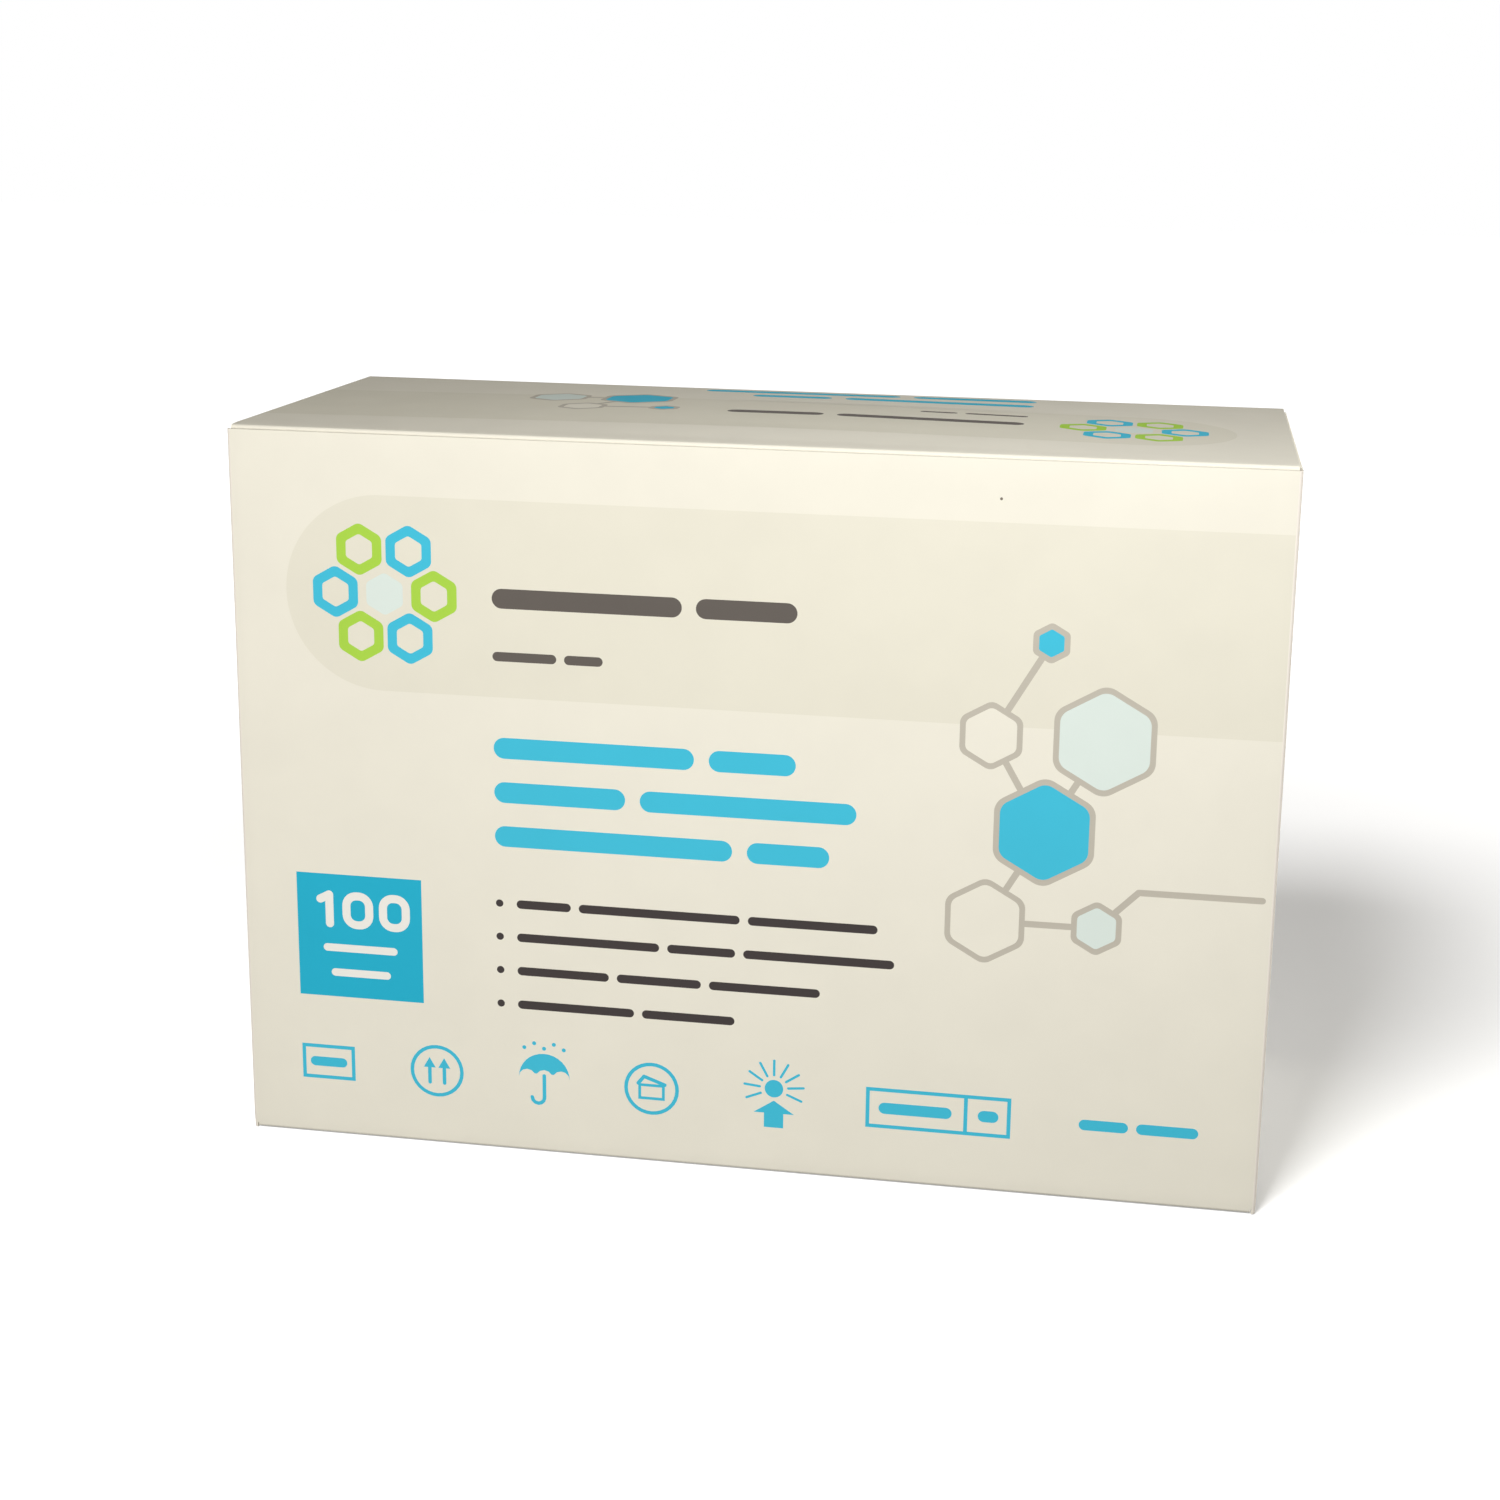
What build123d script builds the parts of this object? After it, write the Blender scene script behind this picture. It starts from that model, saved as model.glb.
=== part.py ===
from build123d import *

import os

# Folding carton for ward disposables: a glued tube of coated board with a tuck-in lid.
# Millimetres. The origin is the middle of the base, +Z is up and the front faces -Y.

# Closed carton, outside
WIDTH = 240.0
DEPTH = 96.0
HEIGHT = 172.0

# Board, and the inside radius that it takes at a crease
BOARD = 0.5
CREASE_RADIUS = 0.4
FOLD_RADIUS = CREASE_RADIUS + BOARD

# Walls: a corner keeps a little flat board beyond its bend, and the front wall ends below the lid's face
CORNER_LEG = 0.3
FRONT_DROP = 1.0

# Lid and its tuck flap
LID_INSET = 0.9
LID_CLEARANCE = 0.2
HINGE_GAP = 0.1
TUCK_LENGTH = 20.0
TUCK_LEAN = 8.0
TUCK_CLEARANCE = 0.3
TUCK_INSET = 1.5
TUCK_CORNER_RADIUS = 14.0
LOCK_SLIT_LENGTH = 9.0
LOCK_SLIT_GAP = 0.4

# Dust flaps, which fold in under the lid
DUST_LENGTH = 56.0
DUST_FRONT_SETBACK = 3.0
DUST_BACK_SETBACK = 2.0
DUST_SHOULDER = 10.0
DUST_STEP = 4.0
DUST_TAPER = 5.0
DUST_CORNER_RADIUS = 5.0

# Bottom flaps, from the outer one to the side ones that lie on top
OUTER_FLAP_SETBACK = 1.2
INNER_FLAP_SETBACK = 1.5
SIDE_FLAP_LENGTH = 54.0
FLAP_CHAMFER = 9.0

# Glued side seam: a flap of the left wall, under the free edge of the back wall
GLUE_WIDTH = 15.0
GLUE_END = 6.0
GLUE_TAPER = 4.0

# Levels and faces that several pieces share
FRONT_FACE = -DEPTH / 2
BACK_FACE = DEPTH / 2
RIGHT_FACE = WIDTH / 2
DUST_TOP = HEIGHT - BOARD - LID_CLEARANCE
POST_TOP = HEIGHT - FRONT_DROP
OUTER_FLAP_LEVEL = 0.0
INNER_FLAP_LEVEL = OUTER_FLAP_LEVEL + BOARD
SIDE_FLAP_LEVEL = INNER_FLAP_LEVEL + BOARD
FLAP_INSET = FOLD_RADIUS + CORNER_LEG
WALL_WIDTH = WIDTH - 2 * FLAP_INSET
WALL_DEPTH = DEPTH - 2 * FLAP_INSET
STUB = 2 * FOLD_RADIUS
TUCK_FACE = FRONT_FACE + BOARD + TUCK_CLEARANCE
TUCK_END = Vector(TUCK_FACE, HEIGHT) + Vector(0, -TUCK_LENGTH).rotate(Axis.Z, TUCK_LEAN)

# Sections across the carton: local x along the section, local y up
FRONT_TO_BACK = Plane(origin=(0, 0, 0), x_dir=(0, 1, 0), z_dir=(1, 0, 0))
LEFT_TO_RIGHT = Plane(origin=(0, 0, 0), x_dir=(1, 0, 0), z_dir=(0, -1, 0))


def folded_sheet(plane, printed_line, length):
    """Board that follows a printed line in a section, folded at its corners, centred on the plane."""
    line = FilletPolyline(*printed_line, radius=FOLD_RADIUS)
    section = make_face(offset(line, amount=BOARD, side=Side.LEFT).edges())
    return extrude(plane * section, amount=length / 2, both=True)


def plate(outline, level):
    """A flat flap of board cut to an outline, with its lower face at a level."""
    return extrude(Plane.XY.offset(level) * outline, amount=BOARD)


def mitre_half(upper):
    """The space above or below the plane that splits the lid's crease, short of it by half the gap."""
    reach = WIDTH + DEPTH
    side = 1 if upper else -1
    half = Box(reach, reach, reach).moved(Location((0, 0, side * (reach + HINGE_GAP) / 2)))
    return half.moved(Location((0, BACK_FACE - FOLD_RADIUS, HEIGHT - FOLD_RADIUS), (45, 0, 0)))


def corner_posts():
    """The tube's three plain corners, which stand between the flaps' ends down to the base."""
    ring = RectangleRounded(WIDTH, DEPTH, FOLD_RADIUS) - RectangleRounded(
        WIDTH - 2 * BOARD, DEPTH - 2 * BOARD, CREASE_RADIUS
    )
    ring -= Rectangle(WALL_WIDTH, DEPTH)
    ring -= Rectangle(WIDTH, WALL_DEPTH)
    ring -= Pos(-RIGHT_FACE, BACK_FACE) * Rectangle(2 * FLAP_INSET, 2 * FLAP_INSET)
    return extrude(ring, amount=POST_TOP)


def front_wall():
    """Front wall, folded under at its foot into the outer bottom flap."""
    line = [
        (FRONT_FACE, POST_TOP),
        (FRONT_FACE, OUTER_FLAP_LEVEL),
        (BACK_FACE - OUTER_FLAP_SETBACK, OUTER_FLAP_LEVEL),
    ]
    return folded_sheet(FRONT_TO_BACK, line, WALL_WIDTH)


def back_wall():
    """Back wall, from the inner bottom flap up to its half of the lid's crease."""
    line = [
        (FRONT_FACE + INNER_FLAP_SETBACK, INNER_FLAP_LEVEL),
        (BACK_FACE, INNER_FLAP_LEVEL),
        (BACK_FACE, HEIGHT),
        (BACK_FACE - STUB, HEIGHT),
    ]
    return folded_sheet(FRONT_TO_BACK, line, WALL_WIDTH) & mitre_half(upper=False)


def dust_flap_outline():
    """Right dust flap seen from above: a straight shoulder at the tuck, a step, then a slow taper."""
    base = RIGHT_FACE - FOLD_RADIUS
    tip = RIGHT_FACE - DUST_LENGTH
    front = FRONT_FACE + DUST_FRONT_SETBACK
    back = BACK_FACE - DUST_BACK_SETBACK
    shoulder = base - DUST_SHOULDER
    face = make_face(
        Polyline(
            (base, front),
            (shoulder, front),
            (shoulder - DUST_STEP, front + DUST_STEP),
            (tip, front + DUST_STEP + DUST_TAPER),
            (tip, back - DUST_STEP - DUST_TAPER),
            (base - DUST_STEP, back - DUST_STEP),
            (base, back),
            close=True,
        )
    )
    tip_corners = face.vertices().group_by(Axis.X)[0]
    return fillet(tip_corners, radius=DUST_CORNER_RADIUS)


def side_flap_outline():
    """Right bottom flap seen from above, with its free corners cut off."""
    base = RIGHT_FACE - FOLD_RADIUS
    tip = RIGHT_FACE - SIDE_FLAP_LENGTH
    face = Pos((base + tip) / 2, 0) * Rectangle(base - tip, WALL_DEPTH)
    tip_corners = face.vertices().group_by(Axis.X)[0]
    return chamfer(tip_corners, length=FLAP_CHAMFER)


def side_wall(back_cut):
    """Right wall with its dust and bottom flaps, cut back from its rear corner by a length."""
    line = [
        (RIGHT_FACE - STUB, SIDE_FLAP_LEVEL),
        (RIGHT_FACE, SIDE_FLAP_LEVEL),
        (RIGHT_FACE, DUST_TOP),
        (RIGHT_FACE - STUB, DUST_TOP),
    ]
    stub_trim = Pos(RIGHT_FACE - STUB, 0, HEIGHT / 2) * Box(2 * (STUB - FOLD_RADIUS), DEPTH, HEIGHT)
    wall = folded_sheet(LEFT_TO_RIGHT, line, WALL_DEPTH - back_cut) - stub_trim
    wall = wall.moved(Location((0, -back_cut / 2, 0)))
    wall += plate(dust_flap_outline(), DUST_TOP - BOARD)
    return wall + plate(side_flap_outline(), SIDE_FLAP_LEVEL)


def seam_corner():
    """Rear left corner: the left wall folds one board inside the back wall and becomes the glue flap."""
    seam_face = BACK_FACE - BOARD
    line = [
        (-RIGHT_FACE + GLUE_WIDTH, seam_face),
        (-RIGHT_FACE, seam_face),
        (-RIGHT_FACE, seam_face - FLAP_INSET),
    ]
    sheet = folded_sheet(Plane.XY, line, 2 * POST_TOP)
    foot = INNER_FLAP_LEVEL + FOLD_RADIUS
    glue_start = -RIGHT_FACE + FOLD_RADIUS
    glue_edge = -RIGHT_FACE + GLUE_WIDTH
    outline = make_face(
        Polyline(
            (-RIGHT_FACE, foot),
            (glue_start, foot),
            (glue_start, GLUE_END),
            (glue_edge, GLUE_END + GLUE_TAPER),
            (glue_edge, POST_TOP - GLUE_END - GLUE_TAPER),
            (glue_start, POST_TOP - GLUE_END),
            (glue_start, POST_TOP),
            (-RIGHT_FACE, POST_TOP),
            close=True,
        )
    )
    return sheet & extrude(LEFT_TO_RIGHT * outline, amount=DEPTH, both=True)


def carton_body():
    """The glued tube with its bottom and dust flaps, folded from one blank."""
    body = corner_posts() + front_wall() + back_wall()
    body += side_wall(back_cut=0)
    body += mirror(side_wall(back_cut=BOARD), about=Plane.YZ)
    return body + seam_corner()


def tuck_outline():
    """Lid seen from the front: full width at the top panel, with a round-cornered tuck flap below."""
    lid_half = RIGHT_FACE - LID_INSET
    tuck_half = lid_half - TUCK_INSET
    fold_foot = HEIGHT - FOLD_RADIUS
    tuck = Pos(0, (TUCK_END.Y + HEIGHT) / 2) * Rectangle(2 * tuck_half, HEIGHT - TUCK_END.Y)
    foot_corners = tuck.vertices().group_by(Axis.Y)[0]
    tuck = fillet(foot_corners, radius=TUCK_CORNER_RADIUS)
    panel = Pos(0, (fold_foot + HEIGHT) / 2) * Rectangle(2 * lid_half, FOLD_RADIUS)
    for end in (-1, 1):
        slit_centre = end * (tuck_half - LOCK_SLIT_LENGTH / 2)
        tuck -= Pos(slit_centre, fold_foot - LOCK_SLIT_GAP / 2) * Rectangle(LOCK_SLIT_LENGTH, LOCK_SLIT_GAP)
    return tuck + panel


def lid():
    """Top panel and tuck flap, hinged on the back wall's crease."""
    line = [
        (BACK_FACE, HEIGHT - STUB),
        (BACK_FACE, HEIGHT),
        (TUCK_FACE, HEIGHT),
        (TUCK_END.X, TUCK_END.Y),
    ]
    sheet = folded_sheet(FRONT_TO_BACK, line, WIDTH) & mitre_half(upper=True)
    return sheet & extrude(LEFT_TO_RIGHT * tuck_outline(), amount=DEPTH, both=True)


os.makedirs("parts", exist_ok=True)
for name, shape in (("carton_body", carton_body()), ("lid", lid())):
    export_step(shape, f"parts/{name}.step")
    print(name, len(shape.solids()), "solid", round(shape.volume), "mm3")
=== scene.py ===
import cmath
import math

import bpy
import numpy as np
from mathutils import Matrix
from mathutils import Vector
from mathutils.geometry import delaunay_2d_cdt


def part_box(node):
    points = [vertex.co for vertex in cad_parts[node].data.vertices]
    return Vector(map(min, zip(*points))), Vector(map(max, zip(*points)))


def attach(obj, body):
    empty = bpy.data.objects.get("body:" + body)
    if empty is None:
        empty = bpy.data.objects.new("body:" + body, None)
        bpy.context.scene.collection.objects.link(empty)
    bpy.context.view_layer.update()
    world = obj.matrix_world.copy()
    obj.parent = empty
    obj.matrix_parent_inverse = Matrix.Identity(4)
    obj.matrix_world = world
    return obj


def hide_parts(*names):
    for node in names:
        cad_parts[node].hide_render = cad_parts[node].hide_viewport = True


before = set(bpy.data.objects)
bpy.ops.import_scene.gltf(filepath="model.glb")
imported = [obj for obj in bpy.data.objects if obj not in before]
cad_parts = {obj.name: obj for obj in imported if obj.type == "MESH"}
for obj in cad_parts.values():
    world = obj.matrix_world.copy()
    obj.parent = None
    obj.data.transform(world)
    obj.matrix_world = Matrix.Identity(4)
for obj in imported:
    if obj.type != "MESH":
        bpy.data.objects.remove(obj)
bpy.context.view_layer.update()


# Carton body: one blank of folding board half a millimetre thick, printed and varnished on its outer side.
# It is creased, folded round into a tube and glued along a seam inside the back wall. Four bottom flaps are
# glued over one another, and two dust flaps lie folded in under the lid. Sizes are in millimetres.
MM = 0.001
body_low, body_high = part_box("carton_body")
_, lid_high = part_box("lid")
WIDTH = round((body_high.x - body_low.x) / MM, 2)
DEPTH = round((body_high.y - body_low.y) / MM, 2)
HEIGHT = round(lid_high.z / MM, 2)
GLUE_LINE = 0.02
BOARD = 0.5 - GLUE_LINE
FOLD_RADIUS = 0.9
QUARTER_TURN = math.pi / 2
BEND = FOLD_RADIUS * QUARTER_TURN

# Creases where the bottom flaps, the dust flaps and the lid fold off their walls
FRONT_FOOT = FOLD_RADIUS
BACK_FOOT = FOLD_RADIUS + 0.5
SIDE_FOOT = FOLD_RADIUS + 1.0
DUST_CREASE = HEIGHT - 0.7 - FOLD_RADIUS
LID_CREASE = HEIGHT - FOLD_RADIUS
FRONT_TOP = HEIGHT - 1.0
HINGE_GAP = 0.1

# Corners keep a short post of board beside the flaps' relief notches
POST_LEG = 0.2
NOTCH = 0.3

# The seam: a flap of the left wall, one board inside the free edge of the back wall
SEAM_STEP = 0.5
SEAM_EDGE = 1.2
GLUE_WIDTH = 15.0
GLUE_END = 6.0
GLUE_TAPER = 4.0

# How far the flaps reach in from their walls, and how they are cut
FRONT_FLAP_REACH = DEPTH - 1.2
BACK_FLAP_REACH = DEPTH - 1.5
SIDE_FLAP_REACH = 54.0
SIDE_FLAP_CHAMFER = 9.0
DUST_REACH = 56.0
DUST_FRONT_SETBACK = 3.0
DUST_BACK_SETBACK = 2.0
DUST_SHOULDER = 10.0
DUST_STEP = 4.0
DUST_TAPER = 5.0
DUST_CORNER = 5.0

# The tube unrolled with its printed side up: each wall's flat run, with the front's middle at zero
wall_runs = {
    "glue": GLUE_WIDTH - FOLD_RADIUS,
    "left": DEPTH - SEAM_STEP - 2 * FOLD_RADIUS,
    "front": WIDTH - 2 * FOLD_RADIUS,
    "right": DEPTH - 2 * FOLD_RADIUS,
    "back": WIDTH - FOLD_RADIUS - SEAM_EDGE,
}
blank_start = -(wall_runs["glue"] + wall_runs["left"] + wall_runs["front"] / 2 + 2 * BEND)
wall_spans = {}
reached = blank_start
for wall, run in wall_runs.items():
    wall_spans[wall] = (reached, reached + run)
    reached += run + BEND
foot_creases = {"left": SIDE_FOOT, "front": FRONT_FOOT, "right": SIDE_FOOT, "back": BACK_FOOT}
head_creases = {"left": DUST_CREASE, "right": DUST_CREASE, "back": LID_CREASE}

# Each wall stands a little out of true in its middle, and board is drawn in softly beside a crease
wall_bow = {"glue": 0.0, "left": 0.4, "front": 0.35, "right": 0.4, "back": 0.6}
SHOULDER_WIDTH = 2.8
SHOULDER_DROP = 0.12
TOP_ROLL_WIDTH = 5.0
TOP_ROLL = 0.22
TOP_ROLL_END = 8.0


def follow(distance, start, heading, legs):
    """Points and headings along folded board in a section: flat runs, each ended by a bend to the left."""
    across = np.full(distance.shape, float(start[0]))
    along = np.full(distance.shape, float(start[1]))
    facing = np.full(distance.shape, float(heading))
    for run, turn in legs:
        cosine, sine = math.cos(heading), math.sin(heading)
        bent = np.clip((distance - run) / FOLD_RADIUS, 0.0, turn)
        ahead = np.clip(distance, 0.0, run) + FOLD_RADIUS * np.sin(bent)
        aside = FOLD_RADIUS * (1.0 - np.cos(bent))
        across += ahead * cosine - aside * sine
        along += ahead * sine + aside * cosine
        facing += bent
        distance = distance - run - FOLD_RADIUS * turn
        heading += turn
    return across, along, facing


def swell(place, low, high):
    """A smooth rise from nothing at both ends of a span to one in its middle."""
    share = np.clip((2 * place - low - high) / (high - low), -1.0, 1.0)
    return (1.0 - share**2) ** 2


def shoulder(distance, width, drop):
    """How far board is drawn in at a distance from a crease or an edge, with nothing from a width on."""
    return drop * (1.0 - np.clip(distance / width, 0.0, 1.0)) ** 2


def corner_distance(u):
    """How far points of the tube lie from its nearest upright crease."""
    nearest = np.full(u.shape, np.inf)
    for wall in ("glue", "left", "front", "right"):
        bend = wall_spans[wall][1]
        nearest = np.minimum(nearest, np.maximum(np.maximum(bend - u, u - bend - BEND), 0.0))
    return nearest


def fold_body(u, v):
    """Where points of the flat body blank come to lie on the folded carton."""
    tube_start = (-WIDTH / 2 + GLUE_WIDTH, DEPTH / 2 - SEAM_STEP)
    tube_legs = [(run, QUARTER_TURN) for run in wall_runs.values()]
    flap_legs = [(0.0, QUARTER_TURN), (WIDTH, 0.0)]
    x, y, facing = follow(u - blank_start, tube_start, math.pi, tube_legs)
    foot = np.full(u.shape, -np.inf)
    head = np.full(u.shape, np.inf)
    corner = corner_distance(u)
    inward = shoulder(corner, SHOULDER_WIDTH, SHOULDER_DROP)
    inward += shoulder(v - FRONT_FOOT, SHOULDER_WIDTH, SHOULDER_DROP)
    front_left, front_right = wall_spans["front"]
    on_front = (u > front_left) & (u < front_right)
    clear_of_corners = 1.0 - shoulder(corner, TOP_ROLL_END, 1.0)
    inward += on_front * clear_of_corners * shoulder(FRONT_TOP - v, TOP_ROLL_WIDTH, TOP_ROLL)
    for wall, (left, right) in wall_spans.items():
        margin = POST_LEG + NOTCH / 2
        on_wall = (u > left + margin) & (u < right - margin)
        foot[on_wall] = foot_creases.get(wall, -np.inf)
        head[on_wall] = head_creases.get(wall, np.inf)
        inward -= wall_bow[wall] * swell(u, left, right) * swell(v, SIDE_FOOT, DUST_CREASE)
    below, down, _ = follow(np.maximum(foot - v, 0.0), (0, 0), -QUARTER_TURN, flap_legs)
    above, up, _ = follow(np.maximum(v - head, 0.0), (0, 0), -QUARTER_TURN, flap_legs)
    inward += below + above
    z = np.clip(v, foot, head) + down - up
    return np.stack([x - inward * np.sin(facing), y + inward * np.cos(facing), z], axis=1)


# Outlines are drawn flat, with points as complex numbers
def arc(centre, radius, first, last, steps=8):
    """Points round part of a circle."""
    return [centre + cmath.rect(radius, first + (last - first) * k / steps) for k in range(steps + 1)]


def rounded(corners, radii):
    """An outline with some corners rounded: radii gives the radius for a corner's number."""
    outline = []
    for k, corner in enumerate(corners):
        if k not in radii:
            outline.append(corner)
            continue
        back = corners[k - 1] - corner
        ahead = corners[(k + 1) % len(corners)] - corner
        back, ahead = back / abs(back), ahead / abs(ahead)
        half = abs(cmath.phase(ahead / back)) / 2
        centre = corner + (back + ahead) / abs(back + ahead) * radii[k] / math.sin(half)
        first = cmath.phase(corner + back * radii[k] / math.tan(half) - centre)
        last = cmath.phase(corner + ahead * radii[k] / math.tan(half) - centre)
        sweep = (last - first + math.pi) % (2 * math.pi) - math.pi
        outline += arc(centre, radii[k], first, first + sweep)
    return outline


def bottom_flap(wall, reach, chamfer=0.0):
    """Lower edge of a wall from left to right: post, notch, flap, notch, post."""
    near, far = wall_spans[wall][0] + POST_LEG, wall_spans[wall][1] - POST_LEG
    notch_top = foot_creases[wall] + POST_LEG
    end = foot_creases[wall] - BEND - (reach - FOLD_RADIUS)
    edge = [
        complex(near, 0),
        complex(near, notch_top),
        complex(near + NOTCH, notch_top),
        complex(near + NOTCH, end + chamfer),
        complex(near + NOTCH + chamfer, end),
        complex(far - NOTCH - chamfer, end),
        complex(far - NOTCH, end + chamfer),
        complex(far - NOTCH, notch_top),
        complex(far, notch_top),
        complex(far, 0),
    ]
    return list(dict.fromkeys(edge))


def dust_sides(front_end, back_end):
    """Where a dust flap's front and back edges lie along its wall, and which way is rearward."""
    rearward = 1 if back_end > front_end else -1
    front = front_end + rearward * (DUST_FRONT_SETBACK - FOLD_RADIUS)
    back = front_end + rearward * (DEPTH - DUST_BACK_SETBACK - FOLD_RADIUS)
    return front, back, rearward


def dust_flap(front_end, back_end):
    """Upper edge of a side wall between its posts: a flap with a shoulder at the tuck, then a taper."""
    front, back, rearward = dust_sides(front_end, back_end)
    base = DUST_CREASE + BEND
    tip = base + DUST_REACH - FOLD_RADIUS
    step, taper = rearward * DUST_STEP, rearward * DUST_TAPER
    post, notch = rearward * POST_LEG, rearward * NOTCH
    edge = [
        complex(front_end + post, FRONT_TOP),
        complex(front_end + post, DUST_CREASE - POST_LEG),
        complex(front_end + post + notch, DUST_CREASE - POST_LEG),
        complex(front_end + post + notch, DUST_CREASE),
        complex(front, DUST_CREASE),
        complex(front, base + DUST_SHOULDER),
        complex(front + step, base + DUST_SHOULDER + DUST_STEP),
        complex(front + step + taper, tip),
        complex(back - step - taper, tip),
        complex(back - step, base + DUST_STEP),
        complex(back, base),
        complex(back, DUST_CREASE),
        complex(back_end - post - notch, DUST_CREASE),
        complex(back_end - post - notch, DUST_CREASE - POST_LEG),
        complex(back_end - post, DUST_CREASE - POST_LEG),
        complex(back_end - post, FRONT_TOP),
    ]
    return rounded(edge, {7: DUST_CORNER, 8: DUST_CORNER})


glue_left, glue_right = wall_spans["glue"]
back_left, back_right = wall_spans["back"]
lid_half_bend = LID_CREASE + BEND / 2 - HINGE_GAP / 2
body_outline = [
    complex(glue_left, GLUE_END + GLUE_TAPER),
    complex(glue_right, GLUE_END),
    complex(glue_right, 0),
]
body_outline += bottom_flap("left", SIDE_FLAP_REACH, SIDE_FLAP_CHAMFER)
body_outline += bottom_flap("front", FRONT_FLAP_REACH)
body_outline += bottom_flap("right", SIDE_FLAP_REACH, SIDE_FLAP_CHAMFER)
body_outline += bottom_flap("back", BACK_FLAP_REACH)[:-1]
body_outline += [
    complex(back_right, BACK_FOOT + POST_LEG),
    complex(back_right, LID_CREASE - POST_LEG),
    complex(back_right - POST_LEG - NOTCH, LID_CREASE - POST_LEG),
    complex(back_right - POST_LEG - NOTCH, lid_half_bend),
    complex(back_left + POST_LEG + NOTCH, lid_half_bend),
    complex(back_left + POST_LEG + NOTCH, LID_CREASE - POST_LEG),
    complex(back_left + POST_LEG, LID_CREASE - POST_LEG),
    complex(back_left + POST_LEG, FRONT_TOP),
]
body_outline += dust_flap(*wall_spans["right"])[::-1]
body_outline += dust_flap(*reversed(wall_spans["left"]))
body_outline += [
    complex(glue_right, FRONT_TOP),
    complex(glue_right, FRONT_TOP - GLUE_END),
    complex(glue_left, FRONT_TOP - GLUE_END - GLUE_TAPER),
]

# Fold lines: each bend is scored in a few strips so that it comes out round
BEND_STRIPS = 6
body_creases = []
for wall in ("glue", "left", "front", "right"):
    for k in range(BEND_STRIPS + 1):
        u = wall_spans[wall][1] + BEND * k / BEND_STRIPS
        body_creases.append((complex(u, 0), complex(u, FRONT_TOP)))
for wall, foot in foot_creases.items():
    near = wall_spans[wall][0] + POST_LEG + NOTCH
    far = wall_spans[wall][1] - POST_LEG - NOTCH
    for k in range(BEND_STRIPS + 1):
        v = foot - BEND * k / BEND_STRIPS
        body_creases.append((complex(near, v), complex(far, v)))

# The dust flaps bend through a quarter turn, and the back's crease ends halfway, where the lid takes over
left_front, left_back, _ = dust_sides(*reversed(wall_spans["left"]))
right_front, right_back, _ = dust_sides(*wall_spans["right"])
head_flaps = {"left": (left_back, left_front), "right": (right_front, right_back)}
for wall, head in head_creases.items():
    near = wall_spans[wall][0] + POST_LEG + NOTCH
    far = wall_spans[wall][1] - POST_LEG - NOTCH
    body_creases.append((complex(near, head), complex(far, head)))
    near, far = head_flaps.get(wall, (near, far))
    strips = BEND_STRIPS if wall in head_flaps else BEND_STRIPS // 2 - 1
    for k in range(1, strips + 1):
        v = head + BEND * k / BEND_STRIPS
        body_creases.append((complex(near, v), complex(far, v)))

# Lines beside the creases and the front's top edge carry the soft shoulders
SHOULDER_LINES = 5
for k in range(1, SHOULDER_LINES + 1):
    away = SHOULDER_WIDTH * k / SHOULDER_LINES
    for wall in ("glue", "left", "front", "right"):
        for u in (wall_spans[wall][1] - away, wall_spans[wall][1] + BEND + away):
            body_creases.append((complex(u, FRONT_FOOT), complex(u, FRONT_TOP)))
    for v in (FRONT_FOOT + away, FRONT_TOP - away):
        body_creases.append((complex(glue_right, v), complex(back_right, v)))

# Points between the creases, so that a wall can bow
GRID = 6.0
body_grid = []
for wall in ("left", "front", "right", "back"):
    left, right = wall_spans[wall]
    for u in np.linspace(left, right, round((right - left) / GRID) + 1)[1:-1]:
        for v in np.linspace(SIDE_FOOT, DUST_CREASE, round(HEIGHT / GRID) + 1)[1:-1]:
            body_grid.append(complex(u, v))

# Print on the front: flat fields of ink, listed from the lowest to the topmost, measured from the panel's
# lower left corner. A pale band runs on round the right wall to a round end on the back.
BAND_LEVEL = 134.4
BAND_HEIGHT = 45.6
BAND_INSET = 13.2
BADGE = complex(36.7, BAND_LEVEL)
BADGE_RING = 11.7
TEXT_LEFT = 62.0
TITLE_RISE = 0.3
SUBTITLE_DROP = 13.2
HEADING_DROP = 34.8
HEADING_PITCH = 10.6
HEADING_WORDS = ((47, 20), (31, 50), (56, 19))
LIST_ROWS = ((62.0, (13, 38, 30)), (53.8, (34, 16, 35)), (45.5, (22, 20, 26)), (37.1, (28, 22)))
LIST_INDENT = 5.0
LIST_DOT = 0.9
COUNT_CORNER = complex(13.2, 35.5)
COUNT_SIDE = 30.7
SIGN_LEVEL = 18.5
SIGN_LINE = 0.9
CLUSTER = complex(176, 66)
CLUSTER_PITCH = 25.0
CLUSTER_LINE = 1.5


def bar(start, end, thickness):
    """A straight stroke with round ends."""
    lean = cmath.phase(end - start)
    steps = 8 + round(thickness)
    tip = arc(end, thickness / 2, lean - QUARTER_TURN, lean + QUARTER_TURN, steps)
    return tip + arc(start, thickness / 2, lean + QUARTER_TURN, lean + 3 * QUARTER_TURN, steps)


def stroke(points, thickness):
    """A bent line, as round-ended strokes."""
    return [bar(start, end, thickness) for start, end in zip(points, points[1:])]


def disc(centre, radius):
    """A full circle."""
    return arc(centre, radius, 0, 4 * QUARTER_TURN, 32)[:-1]


def box(centre, width, height, corner=0.0):
    """An upright rectangle, with round corners where a radius is given."""
    corners = [centre + complex(i * width, j * height) / 2 for i, j in ((-1, -1), (1, -1), (1, 1), (-1, 1))]
    return rounded(corners, dict.fromkeys(range(4), corner)) if corner else corners


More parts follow.
